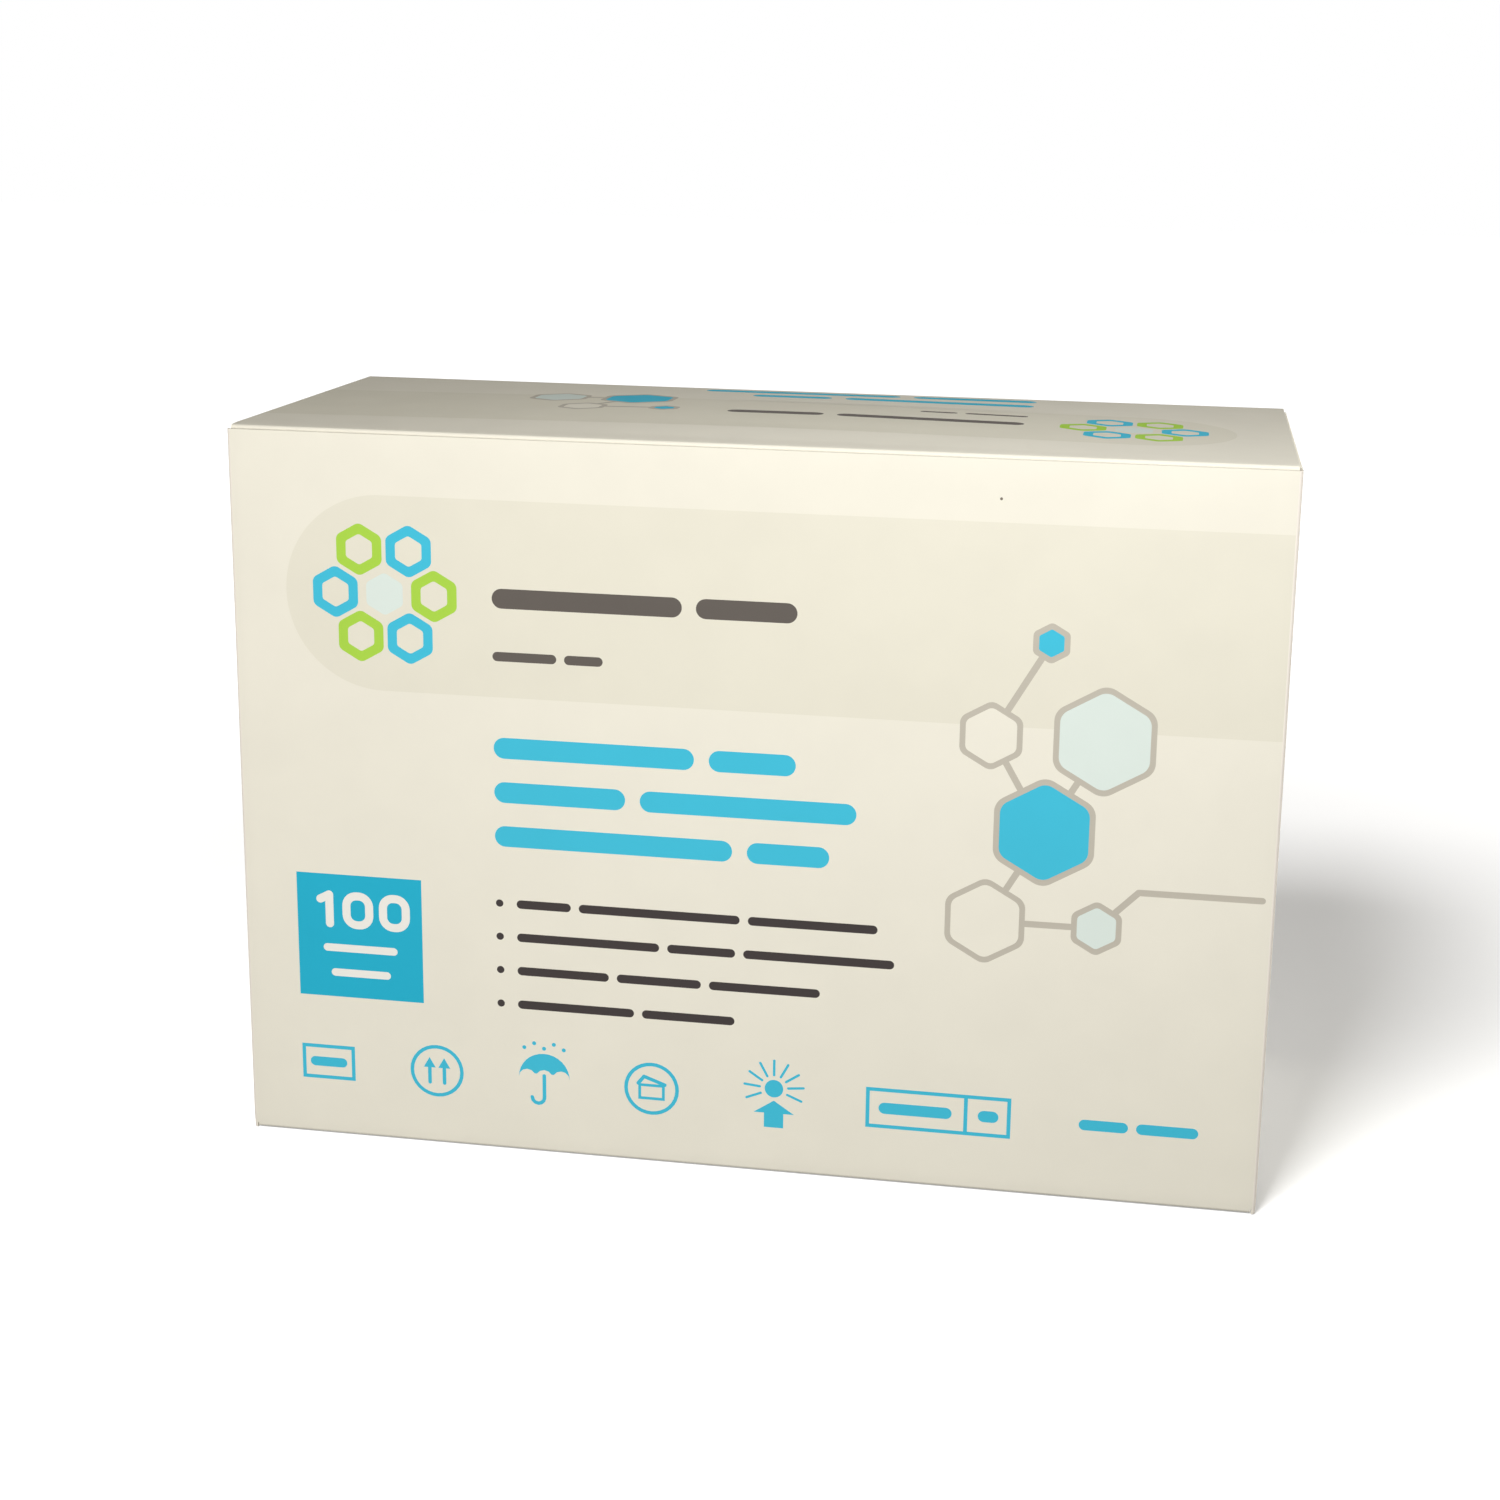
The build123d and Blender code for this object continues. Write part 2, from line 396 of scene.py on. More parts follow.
def hexagon(centre, radius, corner):
    """A hexagon that stands on a point, with round corners."""
    corners = [centre + cmath.rect(radius, QUARTER_TURN + k * math.pi / 3) for k in range(6)]
    return rounded(corners, dict.fromkeys(range(6), corner))


def rim(outer, inner):
    """The strip between two like outlines."""
    count = len(outer)
    return [[outer[k], outer[(k + 1) % count], inner[(k + 1) % count], inner[k]] for k in range(count)]


def inked(ink, outlines):
    """Outlines that are all filled with one ink."""
    return [(ink, outline) for outline in outlines]


def words(ink, left, level, lengths, thickness, space):
    """A row of plain bars that stands where a line of text would."""
    row = []
    for length in lengths:
        start = complex(left + thickness / 2, level)
        row.append((ink, bar(start, start + length - thickness, thickness)))
        left += length + space
    return row


def masthead(band_end, heading_rows):
    """Pale band, a badge of six hexagons about a seventh, a title and the rows of a heading."""
    radius = BAND_HEIGHT / 2
    level = BADGE.imag
    band_start = complex(BAND_INSET + radius, level)
    print_list = inked("band", [bar(band_start, complex(band_end, level), BAND_HEIGHT)])
    for k in range(6):
        cell = BADGE + cmath.rect(BADGE_RING, k * math.pi / 3)
        outer = hexagon(cell, radius=6.2, corner=1.8)
        inner = hexagon(cell, radius=3.6, corner=0.9)
        print_list += inked("cyan" if k % 2 else "lime", rim(outer, inner))
    print_list += inked("mint", [hexagon(BADGE, radius=5.0, corner=1.4)])
    print_list += words("title", TEXT_LEFT, level + TITLE_RISE, (44, 23), thickness=4.6, space=3.2)
    print_list += words("title", TEXT_LEFT, level - SUBTITLE_DROP, (15, 9), thickness=2.2, space=1.8)
    for k, lengths in enumerate(HEADING_WORDS[:heading_rows]):
        row_level = level - HEADING_DROP - HEADING_PITCH * k
        print_list += words("cyan", TEXT_LEFT, row_level, lengths, thickness=5.0, space=3.4)
    return print_list


def sign_row(level):
    """Plain handling signs: this way up, keep dry, a carton, keep out of the sun, and framed bars."""
    small_frame, arrows, umbrella, parcel, sunlight, long_frame = (
        complex(middle, level) for middle in (19.8, 46.8, 73.2, 99.2, 128.4, 166.8)
    )
    signs = rim(box(small_frame, 13.2, 8.8), box(small_frame, 11.4, 7.0))
    signs += [bar(small_frame - 3.4, small_frame + 3.4, 2.4)]
    for middle in (arrows, parcel):
        signs += rim(disc(middle, 6.6), disc(middle, 5.7))
    for arrow in (arrows - 1.8, arrows + 1.8):
        signs += stroke([arrow - 3j, arrow + 1.5j], SIGN_LINE)
        signs += [[arrow + complex(-1.5, 0.8), arrow + complex(1.5, 0.8), arrow + 3.4j]]
    canopy_middle, canopy_radius = umbrella + 0.4j, 6.2
    canopy = arc(canopy_middle, canopy_radius, 0, math.pi, 16)
    for k in range(3):
        scallop = canopy_middle + canopy_radius * (2 * k - 2) / 3
        canopy += arc(scallop, canopy_radius / 3, math.pi, 0, 6)[1:-1]
    signs += [canopy]
    handle_foot, hook_radius = umbrella - 4.6j, 1.5
    hook = arc(handle_foot - hook_radius, hook_radius, 0, -math.pi, 6)
    signs += stroke([umbrella + 1j] + hook, SIGN_LINE)
    for k in range(5):
        signs += [disc(umbrella + complex(2.4 * k - 4.8, 7.9 + 1.2 * (k % 2)), 0.5)]
    parcel_side = parcel - 0.8j
    signs += rim(box(parcel_side, 6.4, 4.0), box(parcel_side, 5.0, 2.6))
    open_flaps = [parcel + point for point in (-3.2 + 1.2j, -1.8 + 3j, 3.2 + 1.2j)]
    signs += stroke(open_flaps, SIGN_LINE)
    sun = sunlight + 2.6j
    signs += [disc(sun, 2.2)]
    for k in range(9):
        ray = cmath.rect(1, -math.pi / 8 + k * 5 * math.pi / 32)
        signs += [bar(sun + 3.4 * ray, sun + 7.0 * ray, 0.6)]
    signs += [[sunlight + complex(-4.8, -3.6), sunlight + complex(4.8, -3.6), sunlight - 0.4j]]
    signs += [box(sunlight - 5.4j, 4.6, 3.6)]
    signs += rim(box(long_frame, 33.6, 10.0), box(long_frame, 31.8, 8.2))
    divider = long_frame + 6.4
    signs += [bar(divider - 4.5j, divider + 4.5j, SIGN_LINE)]
    signs += [bar(long_frame - 12.4, long_frame + 1.8, 2.8)]
    signs += [bar(long_frame + 10.6, long_frame + 12.6, 2.8)]
    return inked("cyan", signs) + words("cyan", 199.1, level, (11.2, 14.0), thickness=2.6, space=1.8)


def count_square(low_left, side):
    """A square field with the plain number 100 and two bars, left white."""
    middle = low_left + complex(side, side) / 2
    figures = middle + 6.6j
    one = [figures + point for point in (-9.6 + 2.4j, -7.4 + 3.6j, -7.4 - 3.6j)]
    white = stroke(one, 2.0)
    for nought in (figures - 0.4, figures + 8.6):
        white += rim(box(nought, 7.6, 9.2, corner=3.5), box(nought, 3.6, 5.2, corner=1.5))
    for half_length, drop in ((8.2, 3.0), (6.4, 9.2)):
        bar_middle = middle - drop * 1j
        white += [bar(bar_middle - half_length, bar_middle + half_length, 1.9)]
    return inked("deep_cyan", [box(middle, side, side)]) + inked("white", white)


def cell_cluster(origin, pitch, cells, links):
    """Rounded hexagons on a honeycomb, some filled, with grey outlines, joined by lines that end in rings."""
    def site(i, j):
        return origin + pitch * complex(i + j / 2, j * math.sqrt(3) / 2)
    print_list = []
    for route in links:
        print_list += inked("grey", stroke([site(i, j) for i, j in route], CLUSTER_LINE))
    for i, j, ink, size in cells:
        radius = 0.52 * pitch * size
        outer = hexagon(site(i, j), radius, corner=0.3 * radius)
        inner = hexagon(site(i, j), radius - CLUSTER_LINE, corner=0.3 * radius - CLUSTER_LINE / 2)
        print_list += inked(ink, [inner])
        print_list += inked("grey", rim(outer, inner))
    return print_list


band_end = back_right + WIDTH / 2 - BAND_INSET - BAND_HEIGHT / 2
front_print = masthead(band_end, heading_rows=3)
for row_level, lengths in LIST_ROWS:
    front_print += inked("dark", [disc(complex(TEXT_LEFT + LIST_DOT, row_level), LIST_DOT)])
    front_print += words("dark", TEXT_LEFT + LIST_INDENT, row_level, lengths, thickness=2.1, space=1.9)
front_print += count_square(COUNT_CORNER, COUNT_SIDE)
front_print += sign_row(SIGN_LEVEL)
front_cells = (
    (0, 1, "cyan", 1.0),
    (0, 2, "mint", 1.0),
    (-1, 2, "board", 0.62),
    (0, 0, "board", 0.8),
    (1, 0, "mint", 0.5),
    (-1, 3, "cyan", 0.36),
)
front_links = (
    ((0, 1), (-1, 2), (-1, 3)),
    ((0, 1), (0, 2)),
    ((0, 0), (0, 1)),
    ((0, 0), (1, 0), (1.15, 0.42), (2.23, 0.42)),
)
front_print += cell_cluster(CLUSTER, CLUSTER_PITCH, front_cells, front_links)
front_print += inked("speck", [disc(complex(176.4, 162.4), radius=0.32)])
body_print = [(ink, [point - WIDTH / 2 for point in outline]) for ink, outline in front_print]

# The coating is stretched along the folds that show and looks a little paler there
for wall in ("left", "front", "right"):
    fold_middle = wall_spans[wall][1] + BEND / 2
    body_print += inked("crease", [box(complex(fold_middle, FRONT_TOP / 2), BEND, FRONT_TOP)])


def linear(red, green, blue):
    """A colour that is read as display values, as the shader takes it."""
    def level(value):
        value /= 255
        return value / 12.92 if value <= 0.04045 else ((value + 0.055) / 1.055) ** 2.4
    return (level(red), level(green), level(blue), 1.0)


def noise(tree, scale, detail, low, high, stretch=(1, 1, 1)):
    """Smooth variation over the object's own metres, spread between two values."""
    place = tree.nodes.new("ShaderNodeTexCoord")
    mapping = tree.nodes.new("ShaderNodeMapping")
    mapping.inputs["Scale"].default_value = stretch
    pattern = tree.nodes.new("ShaderNodeTexNoise")
    pattern.inputs["Scale"].default_value = scale
    pattern.inputs["Detail"].default_value = detail
    spread = tree.nodes.new("ShaderNodeMapRange")
    spread.inputs["From Min"].default_value = 0.3
    spread.inputs["From Max"].default_value = 0.7
    spread.inputs["To Min"].default_value = low
    spread.inputs["To Max"].default_value = high
    tree.links.new(place.outputs["Object"], mapping.inputs["Vector"])
    tree.links.new(mapping.outputs["Vector"], pattern.inputs["Vector"])
    tree.links.new(pattern.outputs["Fac"], spread.inputs["Value"])
    return spread.outputs["Result"]


def shaded(tree, colour, lightness):
    """A colour made lighter and darker by a varying factor."""
    tint = tree.nodes.new("ShaderNodeMix")
    tint.data_type = "RGBA"
    tint.blend_type = "MULTIPLY"
    tint.inputs["Factor"].default_value = 1.0
    tint.inputs["A"].default_value = colour
    tree.links.new(lightness, tint.inputs["B"])
    return tint.outputs["Result"]


def relief(tree, height, distance, under=None):
    """Fine unevenness of a surface, laid over a coarser one where that is given."""
    bump = tree.nodes.new("ShaderNodeBump")
    bump.inputs["Strength"].default_value = 1.0
    bump.inputs["Distance"].default_value = distance
    tree.links.new(height, bump.inputs["Height"])
    if under:
        tree.links.new(under, bump.inputs["Normal"])
    return bump.outputs["Normal"]


def varnished(name, colour):
    """Ink or bare coating under a satin varnish: slow mottle, gloss that wanders and a fine orange peel."""
    material = bpy.data.materials.new(name)
    material.use_nodes = True
    tree = material.node_tree
    surface = tree.nodes["Principled BSDF"]
    surface.inputs["Specular IOR Level"].default_value = 0.06
    lightness = noise(tree, scale=70, detail=4, low=0.975, high=1.0)
    tree.links.new(shaded(tree, colour, lightness), surface.inputs["Base Color"])
    gloss = noise(tree, scale=160, detail=3, low=0.62, high=0.72)
    tree.links.new(gloss, surface.inputs["Roughness"])
    waves = relief(tree, noise(tree, scale=55, detail=1, low=0, high=1), distance=0.00003)
    peel = relief(tree, noise(tree, scale=1500, detail=2, low=0, high=1), distance=0.0000022, under=waves)
    tree.links.new(peel, surface.inputs["Normal"])
    return material


def uncoated(name, colour):
    """The board's bare inner side: matt pulp with fibres that lie mostly along the sheet's grain."""
    material = bpy.data.materials.new(name)
    material.use_nodes = True
    tree = material.node_tree
    surface = tree.nodes["Principled BSDF"]
    surface.inputs["Roughness"].default_value = 0.85
    surface.inputs["Specular IOR Level"].default_value = 0.25
    fibres = noise(tree, scale=900, detail=5, low=0.90, high=1.0, stretch=(1, 1, 0.35))
    tree.links.new(shaded(tree, colour, fibres), surface.inputs["Base Color"])
    pulp = noise(tree, scale=1400, detail=4, low=0, high=1, stretch=(1, 1, 0.4))
    tree.links.new(relief(tree, pulp, distance=0.000012), surface.inputs["Normal"])
    return material


def cut_edge(name, colour):
    """A die-cut edge: the rough middle ply with torn fibres."""
    material = bpy.data.materials.new(name)
    material.use_nodes = True
    tree = material.node_tree
    surface = tree.nodes["Principled BSDF"]
    surface.inputs["Roughness"].default_value = 0.9
    surface.inputs["Specular IOR Level"].default_value = 0.2
    torn = noise(tree, scale=4000, detail=3, low=0.85, high=1.0)
    tree.links.new(shaded(tree, colour, torn), surface.inputs["Base Color"])
    return material


finishes = {
    "board": varnished("ivory_coating", linear(244, 240, 226)),
    "band": varnished("pale_band_ink", linear(237, 233, 217)),
    "crease": varnished("stretched_crease", linear(250, 243, 233)),
    "cyan": varnished("cyan_ink", linear(72, 198, 228)),
    "deep_cyan": varnished("deep_cyan_ink", linear(44, 184, 217)),
    "lime": varnished("lime_ink", linear(176, 220, 80)),
    "dark": varnished("dark_ink", linear(72, 66, 66)),
    "title": varnished("title_ink", linear(104, 98, 93)),
    "grey": varnished("warm_grey_ink", linear(199, 193, 180)),
    "mint": varnished("mint_ink", linear(228, 240, 234)),
    "white": varnished("white_ink", linear(250, 248, 242)),
    "speck": varnished("print_speck", linear(120, 112, 100)),
    "inside": uncoated("uncoated_inside", linear(222, 214, 198)),
    "edge": cut_edge("die_cut_edge", linear(232, 226, 212)),
}
finish_numbers = {name: k for k, name in enumerate(finishes)}


def folded_board(name, outline, creases, grid, print_list, fold):
    """A blank cut to its outline, printed, creased, folded to its place and given the board's thickness."""
    points, areas, lines = [], [], []

    def add(shape):
        points.extend(shape)
        return list(range(len(points) - len(shape), len(points)))

    areas.append(add(outline))
    for _, shape in print_list:
        areas.append(add(shape))
    for crease in creases:
        lines.append(add(crease))
    add(grid)
    flat_points = [Vector((point.real, point.imag)) for point in points]
    merge = 1e-4
    flat, _, triangles, _, _, sources = delaunay_2d_cdt(flat_points, lines, areas, 0, merge)
    inks = ["board"] + [ink for ink, _ in print_list]
    kept = [(triangle, inks[max(source)]) for triangle, source in zip(triangles, sources) if 0 in source]

    u = np.array([point.x for point in flat], float)
    v = np.array([point.y for point in flat], float)
    step = 0.02
    outer = fold(u, v)
    normal = np.cross(fold(u + step, v) - fold(u - step, v), fold(u, v + step) - fold(u, v - step))
    normal /= np.maximum(np.linalg.norm(normal, axis=1, keepdims=True), 1e-12)
    inner = outer - BOARD * normal

    used = sorted({corner for triangle, _ in kept for corner in triangle})
    number = {corner: k for k, corner in enumerate(used)}
    count = len(used)
    faces, face_inks, corner_normals = [], [], []
    sides = {}
    for triangle, ink in kept:
        a, b, c = (number[corner] for corner in triangle)
        faces += [(a, b, c), (c + count, b + count, a + count)]
        face_inks += [ink, "inside"]
        corner_normals += [normal[corner] for corner in triangle]
        corner_normals += [-normal[corner] for corner in reversed(triangle)]
        for start, end in zip(triangle, triangle[1:] + triangle[:1]):
            sides[(start, end)] = True
    for start, end in sides:
        if (end, start) in sides:
            continue
        a, b = number[start], number[end]
        faces.append((b, a, a + count, b + count))
        face_inks.append("edge")
        across = np.cross(outer[end] - outer[start], normal[start])
        corner_normals += [across / np.linalg.norm(across)] * 4

    mesh = bpy.data.meshes.new(name)
    mesh.from_pydata(np.concatenate([outer[used], inner[used]]) * MM, [], faces)
    for material in finishes.values():
        mesh.materials.append(material)
    mesh.polygons.foreach_set("material_index", [finish_numbers[ink] for ink in face_inks])
    mesh.polygons.foreach_set("use_smooth", [True] * len(faces))
    mesh.update()
    mesh.normals_split_custom_set(corner_normals)
    piece = bpy.data.objects.new(name, mesh)
    bpy.context.scene.collection.objects.link(piece)
    return piece


carton = folded_board("carton_body_board", body_outline, body_creases, body_grid, body_print, fold_body)
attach(carton, "carton")
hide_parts("carton_body")


# Lid: the top panel of the same blank, with a round-cornered tuck flap that goes in behind the front wall.
# It turns on the crease along the top of the back wall, and short slits at the ends of its front fold let
# the dust flaps' shoulders catch it. Its print is turned so that it reads from the back.
LID_HALF = round(lid_high.x / MM, 2)
LID_CROWN = 1.6
CROWN_PLACE = 34.0
TUCK_FACE = -DEPTH / 2 + 0.8
TUCK_LENGTH = 20.0
TUCK_LEAN = math.radians(8)
TUCK_INSET = 1.5
TUCK_CORNER = 14.0
SLIT_LENGTH = 9.0
SLIT_GAP = 0.4
half_turn = QUARTER_TURN / 2
tuck_turn = QUARTER_TURN + TUCK_LEAN
tuck_tangent = FOLD_RADIUS * math.tan(tuck_turn / 2)
panel_run = DEPTH / 2 - FOLD_RADIUS - TUCK_FACE - tuck_tangent
tuck_run = TUCK_LENGTH - tuck_tangent
panel_back = -BEND / 2
panel_front = panel_back - panel_run
crown_line = panel_front + CROWN_PLACE
tuck_top = panel_front - FOLD_RADIUS * tuck_turn
tuck_end = tuck_top - tuck_run


def fold_lid(u, w):
    """Where points of the flat lid come to lie: w runs back from the tuck flap's end to the hinge crease."""
    crease_middle = FOLD_RADIUS * math.sqrt(0.5)
    hinge = (DEPTH / 2 - FOLD_RADIUS + crease_middle, HEIGHT - FOLD_RADIUS + crease_middle)
    legs = [(0.0, half_turn), (panel_run, tuck_turn), (TUCK_LENGTH, 0.0)]
    y, z, _ = follow(-w, hinge, math.pi - half_turn, legs)
    crown = 1.0 - np.clip(np.maximum(crown_line - w, 0.0) / CROWN_PLACE, 0.0, 1.0) ** 2
    crown -= np.clip((w - crown_line) / (panel_back - crown_line), 0.0, 1.0) ** 2
    z = z + LID_CROWN * swell(u, -LID_HALF, LID_HALF) * crown
    z = z - shoulder(w - panel_front, SHOULDER_WIDTH, SHOULDER_DROP)
    return np.stack([u, y, z], axis=1)


tuck_half = LID_HALF - TUCK_INSET
slit_back = tuck_top + SLIT_GAP / 4
slit_front = slit_back - SLIT_GAP
right_edge = [
    complex(tuck_half, tuck_end),
    complex(tuck_half, slit_front),
    complex(tuck_half - SLIT_LENGTH, slit_front),
    complex(tuck_half - SLIT_LENGTH, slit_back),
    complex(LID_HALF, slit_back),
    complex(LID_HALF, -HINGE_GAP / 2),
]
left_edge = [complex(-point.real, point.imag) for point in reversed(right_edge)]
lid_corners = right_edge + left_edge
lid_outline = rounded(lid_corners, {0: TUCK_CORNER, len(lid_corners) - 1: TUCK_CORNER})

lid_creases = []
for k in range(BEND_STRIPS // 2 + 1):
    w = panel_back * k * 2 / BEND_STRIPS
    lid_creases.append((complex(-LID_HALF, w), complex(LID_HALF, w)))
for k in range(BEND_STRIPS + 1):
    w = panel_front - FOLD_RADIUS * tuck_turn * k / BEND_STRIPS
    reach = LID_HALF if w > slit_back else tuck_half - SLIT_LENGTH
    lid_creases.append((complex(-reach, w), complex(reach, w)))
for k in range(1, SHOULDER_LINES + 1):
    w = panel_front + SHOULDER_WIDTH * k / SHOULDER_LINES
    lid_creases.append((complex(-LID_HALF, w), complex(LID_HALF, w)))
lid_grid = []
for u in np.linspace(-LID_HALF, LID_HALF, round(2 * LID_HALF / GRID) + 1)[1:-1]:
    for w in np.linspace(panel_front, panel_back, round(panel_run / GRID) + 1)[1:-1]:
        lid_grid.append(complex(u, w))

# The masthead again, read from the back, with a smaller cluster beside it
LID_BADGE_LEVEL = 53.0
LID_CLUSTER = complex(158, 34)
LID_CLUSTER_PITCH = 20.0
lid_back_edge = panel_back + FOLD_RADIUS
lid_shift = complex(0, LID_BADGE_LEVEL - BAND_LEVEL)
lid_masthead = masthead(WIDTH + BAND_HEIGHT, heading_rows=2)
lid_art = [(ink, [point + lid_shift for point in outline]) for ink, outline in lid_masthead]
lid_cells = ((0, 0, "cyan", 1.0), (1, 0, "mint", 0.8), (0, 1, "board", 0.62), (-1, 1, "cyan", 0.4))
lid_links = (((0, 0), (1, 0)), ((0, 0), (0, 1), (-1, 1)))
lid_art += cell_cluster(LID_CLUSTER, LID_CLUSTER_PITCH, lid_cells, lid_links)
lid_corner = complex(WIDTH / 2, lid_back_edge)
lid_print = [(ink, [lid_corner - point for point in outline]) for ink, outline in lid_art]

lid = folded_board("lid_board", lid_outline, lid_creases, lid_grid, lid_print, fold_lid)
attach(lid, "lid")
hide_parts("lid")


# Stage: a plain white floor that keeps the carton's soft shadow and runs out into white all round. It is
# seen as white by the camera and in gloss, and gives the carton only a plain level of light.
FLOOR_SIZE = 8.0
FLOOR_DROP = 0.0002
FLOOR_PALENESS = 0.16
FLOOR_PALENESS_SEEN = 0.65
FLOOR_GLOW = 0.375
FADE_START = 0.22
FADE_END = 0.6
AMBIENT = 0.14
AMBIENT_TINT = (1.0, 0.92, 0.76, 1)
floor_mesh = bpy.data.meshes.new("floor")
half = FLOOR_SIZE / 2
floor_corners = [(-half, -half, 0), (half, -half, 0), (half, half, 0), (-half, half, 0)]
floor_mesh.from_pydata(floor_corners, [], [(0, 1, 2, 3)])
floor = bpy.data.objects.new("floor", floor_mesh)
floor.location.z = -FLOOR_DROP
bpy.context.scene.collection.objects.link(floor)


def seen_directly(tree):
    """One for a ray from the camera, or from gloss or glass, and nothing for a ray that carries light."""
    path = tree.nodes.new("ShaderNodeLightPath")
    total = tree.nodes.new("ShaderNodeMath")
    total.operation = "MAXIMUM"
    both = tree.nodes.new("ShaderNodeMath")
    both.operation = "MAXIMUM"
    tree.links.new(path.outputs["Is Camera Ray"], total.inputs[0])
    tree.links.new(path.outputs["Is Glossy Ray"], total.inputs[1])
    tree.links.new(total.outputs[0], both.inputs[0])
    tree.links.new(path.outputs["Is Transmission Ray"], both.inputs[1])
    return both.outputs[0]


floor_paint = bpy.data.materials.new("white_floor")
floor_paint.use_nodes = True
floor_tree = floor_paint.node_tree
floor_tree.nodes.remove(floor_tree.nodes["Principled BSDF"])
matt = floor_tree.nodes.new("ShaderNodeBsdfDiffuse")
paleness = floor_tree.nodes.new("ShaderNodeMapRange")
paleness.inputs["To Min"].default_value = FLOOR_PALENESS
paleness.inputs["To Max"].default_value = FLOOR_PALENESS_SEEN
floor_seen = seen_directly(floor_tree)
floor_place = floor_tree.nodes.new("ShaderNodeTexCoord")
from_middle = floor_tree.nodes.new("ShaderNodeVectorMath")
from_middle.operation = "LENGTH"
fade = floor_tree.nodes.new("ShaderNodeMapRange")
fade.interpolation_type = "SMOOTHSTEP"
fade.inputs["From Min"].default_value = FADE_START
fade.inputs["From Max"].default_value = FADE_END
fade.inputs["To Min"].default_value = FLOOR_GLOW
fade.inputs["To Max"].default_value = 1.0
strength = floor_tree.nodes.new("ShaderNodeMath")
strength.operation = "MULTIPLY"
glow = floor_tree.nodes.new("ShaderNodeEmission")
glow.inputs["Color"].default_value = (1, 1, 1, 1)
together = floor_tree.nodes.new("ShaderNodeAddShader")
floor_tree.links.new(floor_place.outputs["Object"], from_middle.inputs[0])
floor_tree.links.new(from_middle.outputs["Value"], fade.inputs["Value"])
floor_tree.links.new(fade.outputs["Result"], strength.inputs[0])
floor_tree.links.new(floor_seen, strength.inputs[1])
floor_tree.links.new(floor_seen, paleness.inputs["Value"])
floor_tree.links.new(paleness.outputs["Result"], matt.inputs["Color"])
floor_tree.links.new(strength.outputs[0], glow.inputs["Strength"])
floor_tree.links.new(matt.outputs[0], together.inputs[0])
floor_tree.links.new(glow.outputs[0], together.inputs[1])
floor_tree.links.new(together.outputs[0], floor_tree.nodes["Material Output"].inputs["Surface"])
floor_mesh.materials.append(floor_paint)

world = bpy.data.worlds.new("white_room")
world.use_nodes = True
bpy.context.scene.world = world
room_tree = world.node_tree
room_level = room_tree.nodes.new("ShaderNodeMapRange")
room_level.inputs["To Min"].default_value = AMBIENT
room_level.inputs["To Max"].default_value = 1.0
room_tint = room_tree.nodes.new("ShaderNodeMix")
room_tint.data_type = "RGBA"
room_tint.inputs["A"].default_value = AMBIENT_TINT
room_tint.inputs["B"].default_value = (1, 1, 1, 1)
background = room_tree.nodes["Background"]
room_seen = seen_directly(room_tree)
room_tree.links.new(room_seen, room_tint.inputs["Factor"])
room_tree.links.new(room_tint.outputs["Result"], background.inputs["Color"])
room_tree.links.new(room_seen, room_level.inputs["Value"])
room_tree.links.new(room_level.outputs["Result"], background.inputs["Strength"])


# Light: a soft lamp close above the front, to its right, and a broad, warmer one low in front. Two small warm
# lamps stand low behind, for the back and the ends. A fifth lights only the floor, so that the carton's soft
# shadow falls there to the right.
WARM = (1, 0.985, 0.95)
COOL = (0.985, 0.99, 1)
carton_alone = bpy.data.collections.new("carton_alone")
carton_alone.objects.link(carton)
carton_alone.objects.link(lid)
floor_alone = bpy.data.collections.new("floor_alone")
floor_alone.objects.link(floor)


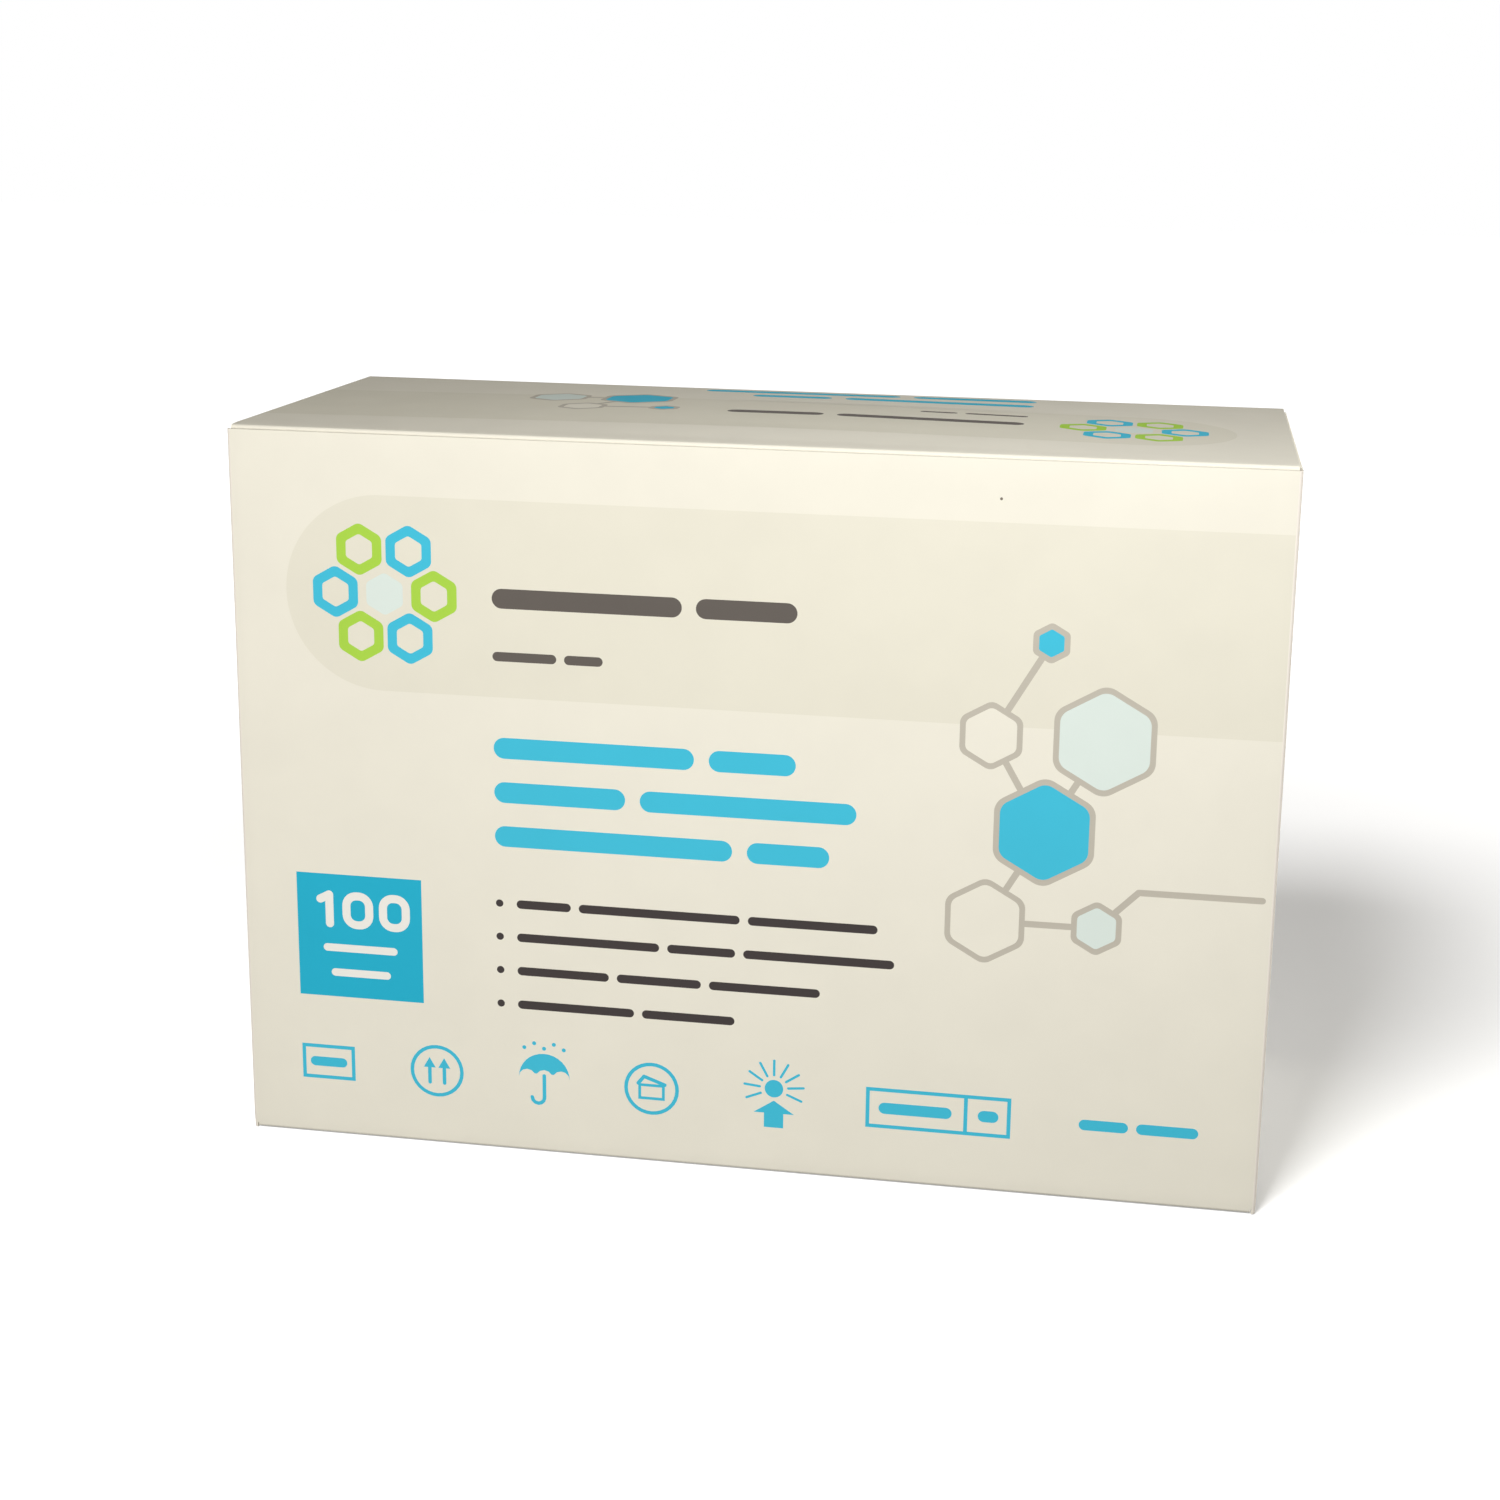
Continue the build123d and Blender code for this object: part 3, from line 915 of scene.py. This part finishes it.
def soft_lamp(name, place, target, size, power, lit, tint=(1, 1, 1)):
    """A square lamp that faces its target, lights one collection and isn't seen itself."""
    lamp_data = bpy.data.lights.new(name, "AREA")
    lamp_data.shape = "SQUARE"
    lamp_data.size = size
    lamp_data.energy = power
    lamp_data.color = tint
    lamp = bpy.data.objects.new(name, lamp_data)
    lamp.visible_camera = False
    lamp.location = place
    lamp.rotation_euler = (Vector(target) - Vector(place)).to_track_quat("-Z", "Y").to_euler()
    lamp.light_linking.receiver_collection = lit
    bpy.context.scene.collection.objects.link(lamp)


front_middle = (0.0, -0.02, 0.1)
back_middle = (0.0, 0.0, 0.085)
shadow_middle = (0.1, 0.1, 0.0)
soft_lamp("right_lamp", (0.14, -0.255, 0.39), front_middle, 0.30, 0.98, carton_alone, COOL)
soft_lamp("front_lamp", (-0.181, -0.695, 0.137), front_middle, 0.40, 3.0, carton_alone, WARM)
soft_lamp("rear_right_lamp", (0.76, 0.52, 0.085), back_middle, 0.16, 5.2, carton_alone, WARM)
soft_lamp("rear_left_lamp", (-0.76, 0.52, 0.085), back_middle, 0.16, 5.2, carton_alone, WARM)
soft_lamp("floor_lamp", (-0.22, -0.8, 1.05), shadow_middle, 0.34, 22.0, floor_alone)


# Camera: a little above the carton and to the right of its middle, turned back towards it. The frame is
# shifted by a few of the picture's 1500 pixels, so that the carton stands where it should in it.
PICTURE = 1500
SHIFT_ACROSS = -40
SHIFT_UP = -110
EYE = Vector((92.2, -548.7, 247.7)) * MM
TURN = math.radians(9.26)
DOWN = math.radians(13.21)
ROLL = math.radians(0.87)
camera_data = bpy.data.cameras.new("camera")
camera_data.lens = 56.23
camera_data.sensor_width = 36.0
camera_data.shift_x = SHIFT_ACROSS / PICTURE
camera_data.shift_y = SHIFT_UP / PICTURE
camera = bpy.data.objects.new("camera", camera_data)
aim = Matrix.Rotation(TURN, 4, "Z") @ Matrix.Rotation(QUARTER_TURN - DOWN, 4, "X")
aim = aim @ Matrix.Rotation(ROLL, 4, "Z")
camera.matrix_world = Matrix.Translation(EYE) @ aim
bpy.context.scene.collection.objects.link(camera)
bpy.context.scene.camera = camera
bpy.context.scene.view_settings.view_transform = "Standard"
